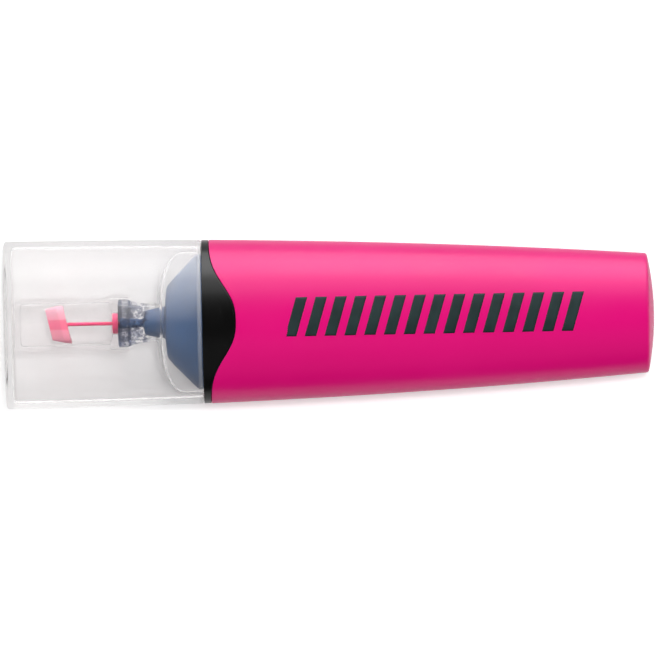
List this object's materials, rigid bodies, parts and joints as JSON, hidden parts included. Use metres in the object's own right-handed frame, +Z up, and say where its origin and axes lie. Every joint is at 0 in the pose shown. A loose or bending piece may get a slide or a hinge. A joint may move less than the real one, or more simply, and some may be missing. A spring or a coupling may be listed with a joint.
{
  "type": "capped highlighter pen",
  "caption": "Flat-oval highlighter with a slanted see-through nib under a clear pull-off cap, a wavy dark grip collar and a tapering barrel.",
  "frame": {"origin": "on the table, under the middle of the lying pen", "axes": "+X along the pen from the cap's closed end to the tail, +Y across the broad face, +Z up through the broad faces"},
  "size_m": [0.11, 0.0284, 0.018],
  "materials": {
    "clear_plastic": "clear, slightly hazy, polished",
    "pink_plastic": "satin, opaque",
    "black_plastic": "satin",
    "ink_felt": "porous fibre wet with ink",
    "fibre_core": "bonded polyester fibre",
    "film_wrap": "thin clear film",
    "print_ink": "matte pad-printed ink"
  },
  "bodies": {
    "pen": {"nib_head": "ink_felt", "nib_carrier": "clear_plastic", "ink_thread": "ink_felt", "feed_rod": "ink_felt", "front_cover": "clear_plastic", "grip_section": "black_plastic", "barrel": "pink_plastic", "reservoir_core": "fibre_core", "reservoir_film": "film_wrap"},
    "cap": {"cap_shell": "clear_plastic", "inner_cap": "clear_plastic"}
  },
  "joints": [
    {"name": "cap_slide", "type": "slide", "parent": "pen", "child": "cap", "axis": [-1, 0, 0], "range_m": [0, 0.032]}
  ]
}
